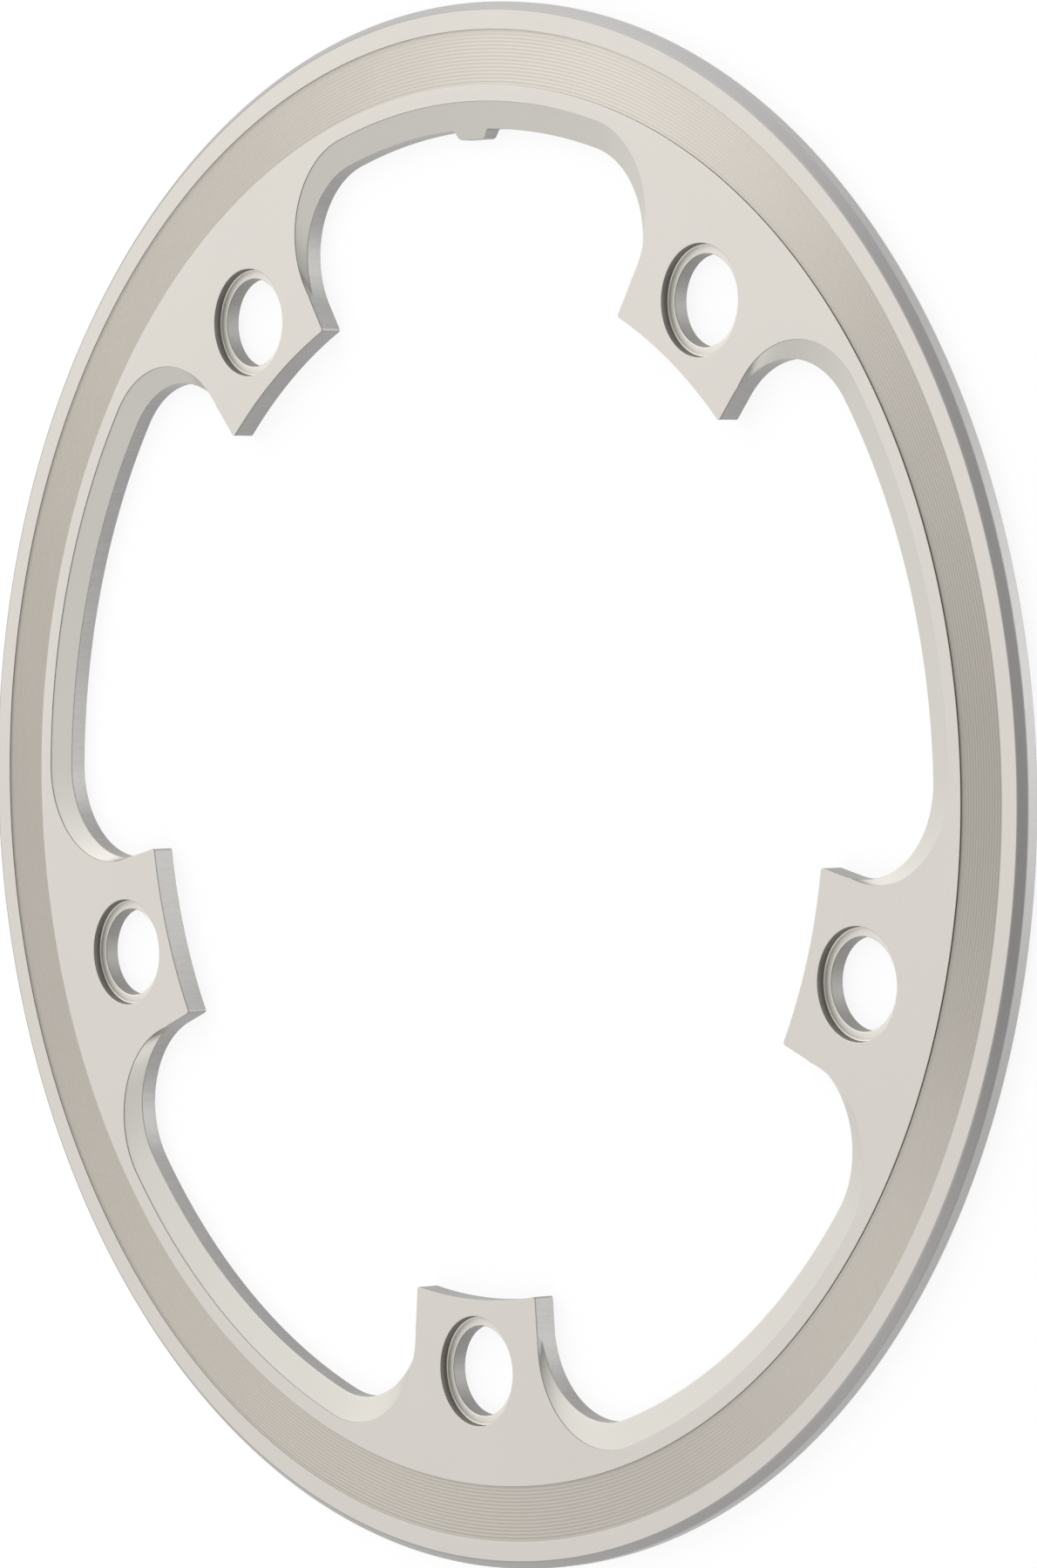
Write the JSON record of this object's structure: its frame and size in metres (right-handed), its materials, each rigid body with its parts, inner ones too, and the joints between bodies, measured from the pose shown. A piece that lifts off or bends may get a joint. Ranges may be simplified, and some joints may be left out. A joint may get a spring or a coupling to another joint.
{
  "type": "bicycle chainring guard",
  "caption": "Flat toothless guard ring for a bicycle crank, with bolt tabs, bevelled scallops, a turned band and a small locating nub.",
  "frame": {"origin": "on the ring's axis, at the plane of its back face", "axes": "+Z along the ring's axis, out of the turned front face; -Y points at the tab opposite the locating nub"},
  "size_m": [0.1736, 0.1736, 0.0028],
  "materials": {
    "satin_aluminium": "satin anodised, with a fine turned band"
  },
  "bodies": {
    "root": {"guard_ring": "satin_aluminium"}
  },
  "joints": []
}
